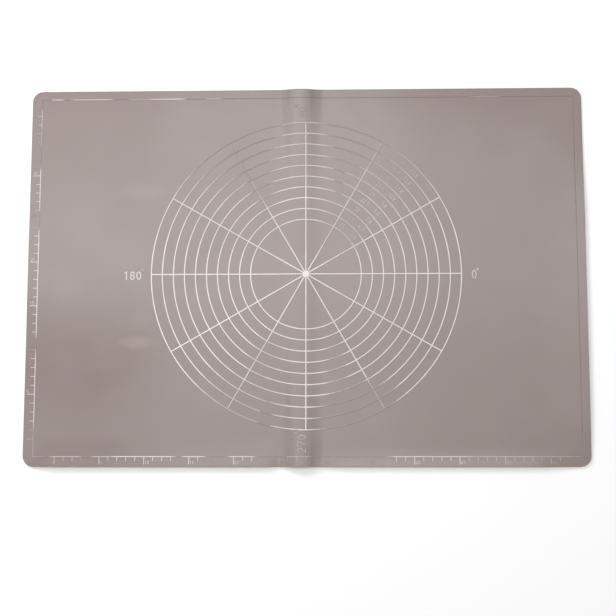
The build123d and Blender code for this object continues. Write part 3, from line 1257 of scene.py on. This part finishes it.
    def ruler_marks(self, name: str, edge: Edge, units: int) -> bpy.types.Object:
        """Builds one ruler's marks: a bar on each of a row of points, longer at every fifth.

        Args:
            name: the piece's name.
            edge: the edge that the ruler lies along.
            units: its length in centimetres.

        Returns:
            The finished piece.
        """
        start, along, out = self._ruler(edge, units)
        sizes = {
            "Marks": units + 1,
            "Long every": self.long_every,
            "Length": self.mark_length,
            "Width": self.mark_width,
            "Long length": self.long_mark_length,
            "Long width": self.long_mark_width,
        }
        tree = ShapeTree(f"Marks of {name}", sizes)
        at = tree.inputs
        row = {"Start Location": (*start, 0.0), "Offset": (along[0] * self.unit, along[1] * self.unit, 0.0)}
        points = tree.out("GeometryNodeMeshLine", {"Count": at["Marks"], **row})
        number = tree.out("GeometryNodeInputIndex")
        left_over = tree.math("MODULO", number, at["Long every"])
        is_long = tree.math("LESS_THAN", left_over, 0.5)
        length = tree.mix(is_long, at["Length"], at["Long length"])
        width = tree.mix(is_long, at["Width"], at["Long width"])
        body = self.ink_height - self.crossing_drop + self.sunk
        feeds = {"Size": (1.0, 1.0, body), "Vertices Y": self.mark_rows}
        bar = tree.out("GeometryNodeMeshCube", feeds)
        middle = (self.ink_height - self.crossing_drop - self.sunk) / 2 + self.lie.thickness
        bar = tree.out("GeometryNodeTransform", {0: bar, "Translation": (0.0, 0.5, middle)})
        turn = math.atan2(-out[0], out[1])
        real = tree.scatter(points, bar, Rotation=(0.0, 0.0, turn), Scale=tree.xyz(width, length, 1.0))
        tree.dressed(tree.group(self.lay, {"Geometry": real}))
        return settled(carrier(name, tree.tree, self.ruler_ink))

    def _numbers(
        self, name: str, numbers: Sequence[Number], material: bpy.types.Material, fine_paths: Sequence[Path] = ()
    ) -> bpy.types.Object:
        """Inks a set of numbers of one height.

        Args:
            name: the piece's name.
            numbers: the numbers.
            material: its finish.
            fine_paths: centre lines of finer strokes that belong to them.

        Returns:
            The finished piece.
        """
        paths = [path for number in numbers for path in number.paths(self.digits)]
        width, step = (share * numbers[0].height for share in (self.digits.stroke, self.digit_step_share))
        return self._strokes(name, paths, width, step, material, fine_paths)

    def ruler_numbers(self, name: str, edge: Edge, units: int) -> bpy.types.Object:
        """Builds one ruler's numbers, each just past its long mark.

        Args:
            name: the piece's name.
            edge: the edge that the ruler lies along.
            units: its length in centimetres.

        Returns:
            The finished piece.
        """
        start, along, out = self._ruler(edge, units)
        numbers = []
        for count in range(self.long_every, units + 1, self.long_every):
            step = count * self.unit + self.long_mark_width / 2 + self.ruler_digit_gap
            place = [s + a * step + o * self.long_mark_length for s, a, o in zip(start, along, out)]
            numbers.append(Number(str(count), self.ruler_digit_height, tuple(place)))
        return self._numbers(name, numbers, self.ruler_ink)

    def ring_numbers(self) -> bpy.types.Object:
        """Builds the rings' diameters in centimetres and inches, each pair inside its ring and turned to follow it.

        Returns:
            The finished piece.
        """
        numbers = []
        for i in range(1, self.ring_count):
            diameter = self.smallest_ring_diameter + i * self.ring_diameter_step
            radius = (diameter - self.ring_diameter_step / 2) / 2
            texts = {-1: f"{diameter / self.unit:g}", 1: f"{diameter / self.inch:.1f}"}
            for side, text in texts.items():
                angle = self.ring_number_angle - side * math.degrees(self.ring_number_spread / radius)
                turn = math.radians(angle)
                aside = self.digits.length(text) * self.ring_digit_height / 2
                inward = radius - self.ring_digit_height / 2
                x = self.centre[0] + inward * math.cos(turn) - aside * math.sin(turn)
                y = self.centre[1] + inward * math.sin(turn) + aside * math.cos(turn)
                numbers.append(Number(text, self.ring_digit_height, (x, y), angle - 90))
        return self._numbers("printed_ring_sizes", numbers, self.ink)

    def angle_numbers(self) -> list[tuple[bpy.types.Object, list[str]]]:
        """Builds the angles beside the ends of the four main rays.

        Returns:
            Each piece with the node that it stands for.
        """
        (cx, cy), h, mark = self.centre, self.angle_digit_height, self.degree_mark_diameter
        reach = self.largest_ring_diameter / 2
        level, upright = reach + self.level_number_gap, reach + self.upright_number_gap
        low, aside = cy - self.level_number_drop - h / 2, cx - self.upright_number_shift + h / 2
        numbers = {
            0: Number("0", h, (cx + level, low), 0),
            90: Number("90", h, (aside, cy + upright), 90),
            180: Number("180", h, (cx - level - self.digits.length("180") * h, low), 0),
            270: Number("270", h, (aside, cy - upright - self.digits.length("270") * h), 90),
        }
        pieces = []
        for angle, number in numbers.items():
            marks = [number.degree_mark(self.digits, mark)]
            pieces.append((self._numbers(f"printed_angle_{angle}", [number], self.ink, marks), [f"angle_{angle}"]))
        return pieces


# The studio


@dataclass(frozen=True)
class Viewpoint:
    """The photograph's camera: almost straight above the mat's near edge."""

    place: Triple = (40.8 * MM, -205.6 * MM, 1337.6 * MM)
    tilt: float = 7.143
    roll: float = 1.612
    turn: float = 0.012
    lens: float = 70.06
    sensor: float = 36.0
    clip: Pair = (0.05, 50.0)

    def build(self) -> None:
        """Sets up the camera and makes it the scene's."""
        data = bpy.data.cameras.new("Camera")
        data.lens, data.sensor_width = self.lens, self.sensor
        data.clip_start, data.clip_end = self.clip
        camera = bpy.data.objects.new("Camera", data)
        bpy.context.scene.collection.objects.link(camera)
        turns = zip((self.roll, self.tilt, self.turn), "YXZ")
        roll, tilt, turn = (Matrix.Rotation(math.radians(angle), 3, axis) for angle, axis in turns)
        camera.matrix_world = Matrix.Translation(self.place) @ (roll @ tilt @ turn).to_4x4()
        bpy.context.scene.camera = camera


@dataclass(frozen=True)
class Softbox:
    """A plain soft lamp that points at a spot on the mat."""

    name: str
    place: Triple
    aim: Triple
    size: Pair
    power: float
    mirrored: bool = True
    colour: Triple = (1.0, 1.0, 1.0)

    def build(self) -> None:
        """Sets up the lamp, which shows in glossy surfaces only where mirrored is set."""
        data = bpy.data.lights.new(self.name, "AREA")
        data.shape = "RECTANGLE"
        data.size, data.size_y = self.size
        data.energy, data.color = self.power, self.colour
        lamp = bpy.data.objects.new(self.name, data)
        bpy.context.scene.collection.objects.link(lamp)
        lamp.visible_glossy = self.mirrored
        lamp.location = self.place
        lamp.rotation_euler = (Vector(self.aim) - Vector(self.place)).to_track_quat("-Z", "Y").to_euler()


def overhead(part: str, x: float, y: float, size: Pair, power: float, height: float = 1.5) -> Softbox:
    """A lamp that points straight down. These never overlap, because in a reflection one would hide another."""
    return Softbox(f"Softbox overhead, {part}", (x, y, height), (x, y, 0.0), size, power)


@dataclass(frozen=True)
class Studio:
    """The table, the lamps and the even light all round."""

    table_half: float = 4.0
    table_drop: float = 0.2 * MM
    light_from_left: float = 0.72
    light_from_right: float = 0.54
    lamps: tuple[Softbox, ...] = (
        overhead("far left", -0.658, 0.560, (0.47, 0.24), 0.63),
        overhead("left", -0.651, 0.294, (0.46, 0.29), 1.41),
        overhead("middle", -0.120, 0.434, (0.60, 0.57), 3.23),
        overhead("right", 0.385, 0.373, (0.41, 0.47), 1.26),
        overhead("near left", -0.638, -0.246, (0.45, 0.30), 0.59),
        overhead("near", -0.118, -0.053, (0.59, 0.41), 1.51),
        overhead("near right", 0.366, -0.035, (0.38, 0.35), 0.41),
        Softbox(
            "Softbox beyond the far left corner",
            (-1.8, 2.2, 1.2),
            (0.0, -0.1, 0.0),
            (1.0, 0.8),
            70.0,
            mirrored=False,
        ),
    )

    def build(self) -> None:
        """Builds the studio."""
        h, z = self.table_half, -self.table_drop
        mesh = bpy.data.meshes.new("table")
        mesh.from_pydata([(-h, -h, z), (h, -h, z), (h, h, z), (-h, h, z)], [], [(0, 1, 2, 3)])
        mesh.materials.append(TableFinish().material())
        table = bpy.data.objects.new("table", mesh)
        bpy.context.scene.collection.objects.link(table)
        for lamp in self.lamps:
            lamp.build()
        world = bpy.data.worlds.new("Even light")
        world.use_nodes = True
        tree = TreeBuilder(world.node_tree)
        direction = tree.add("ShaderNodeTexCoord").outputs["Generated"]
        across = tree.out("ShaderNodeSeparateXYZ", {0: direction})
        background = world.node_tree.nodes["Background"]
        background.inputs["Color"].default_value = (1.0, 1.0, 1.0, 1.0)
        ends = (self.light_from_left, self.light_from_right)
        tree.join(tree.ramp(across, (-1.0, 1.0), ends, smooth=False), background, "Strength")
        bpy.context.scene.world = world
        bpy.context.scene.view_settings.view_transform = "Standard"


def report(piece: bpy.types.Object) -> None:
    """Logs a finished piece."""
    LOG.info("%s: %d faces", piece.name, len(piece.data.polygons))


def main() -> None:
    """Builds the mat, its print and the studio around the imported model."""
    logging.basicConfig(level=logging.INFO, format="%(name)s: %(message)s")
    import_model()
    kit = FinishKit(PRINT_CENTRE)
    lie = Lie()
    lay = lie.group()
    fold = Fold(lie.fold_line)

    sheet = Sheet(lie, lay, SiliconeFinish().material(kit)).build()
    fold.carry(sheet)
    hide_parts("mat_left_half", "mat_fold_strip", "mat_right_half")
    report(sheet)

    finishes = (
        InkFinish("White ink", Zone.MIDDLE),
        InkFinish("White ink of the rays", Zone.MIDDLE, wear=0.8),
        # The frame line's worn colour is darker than the silicone: painted shade of a groove along the line
        InkFinish("White ink of the frame", Zone.EDGES, gone=(0.212, 0.169, 0.160)),
        InkFinish("White ink of the rulers", Zone.EDGES, gone=(0.234, 0.187, 0.177), strength=0.7),
    )
    ink, ray_ink, frame_ink, ruler_ink = (finish.material(kit) for finish in finishes)
    layout = Print(lie, lay, ink, ray_ink, frame_ink, ruler_ink, PRINT_CENTRE)
    for piece, nodes in layout.build():
        fold.carry(piece)
        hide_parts(*nodes)
        report(piece)

    Studio().build()
    Viewpoint().build()


if __name__ == "__main__":
    main()
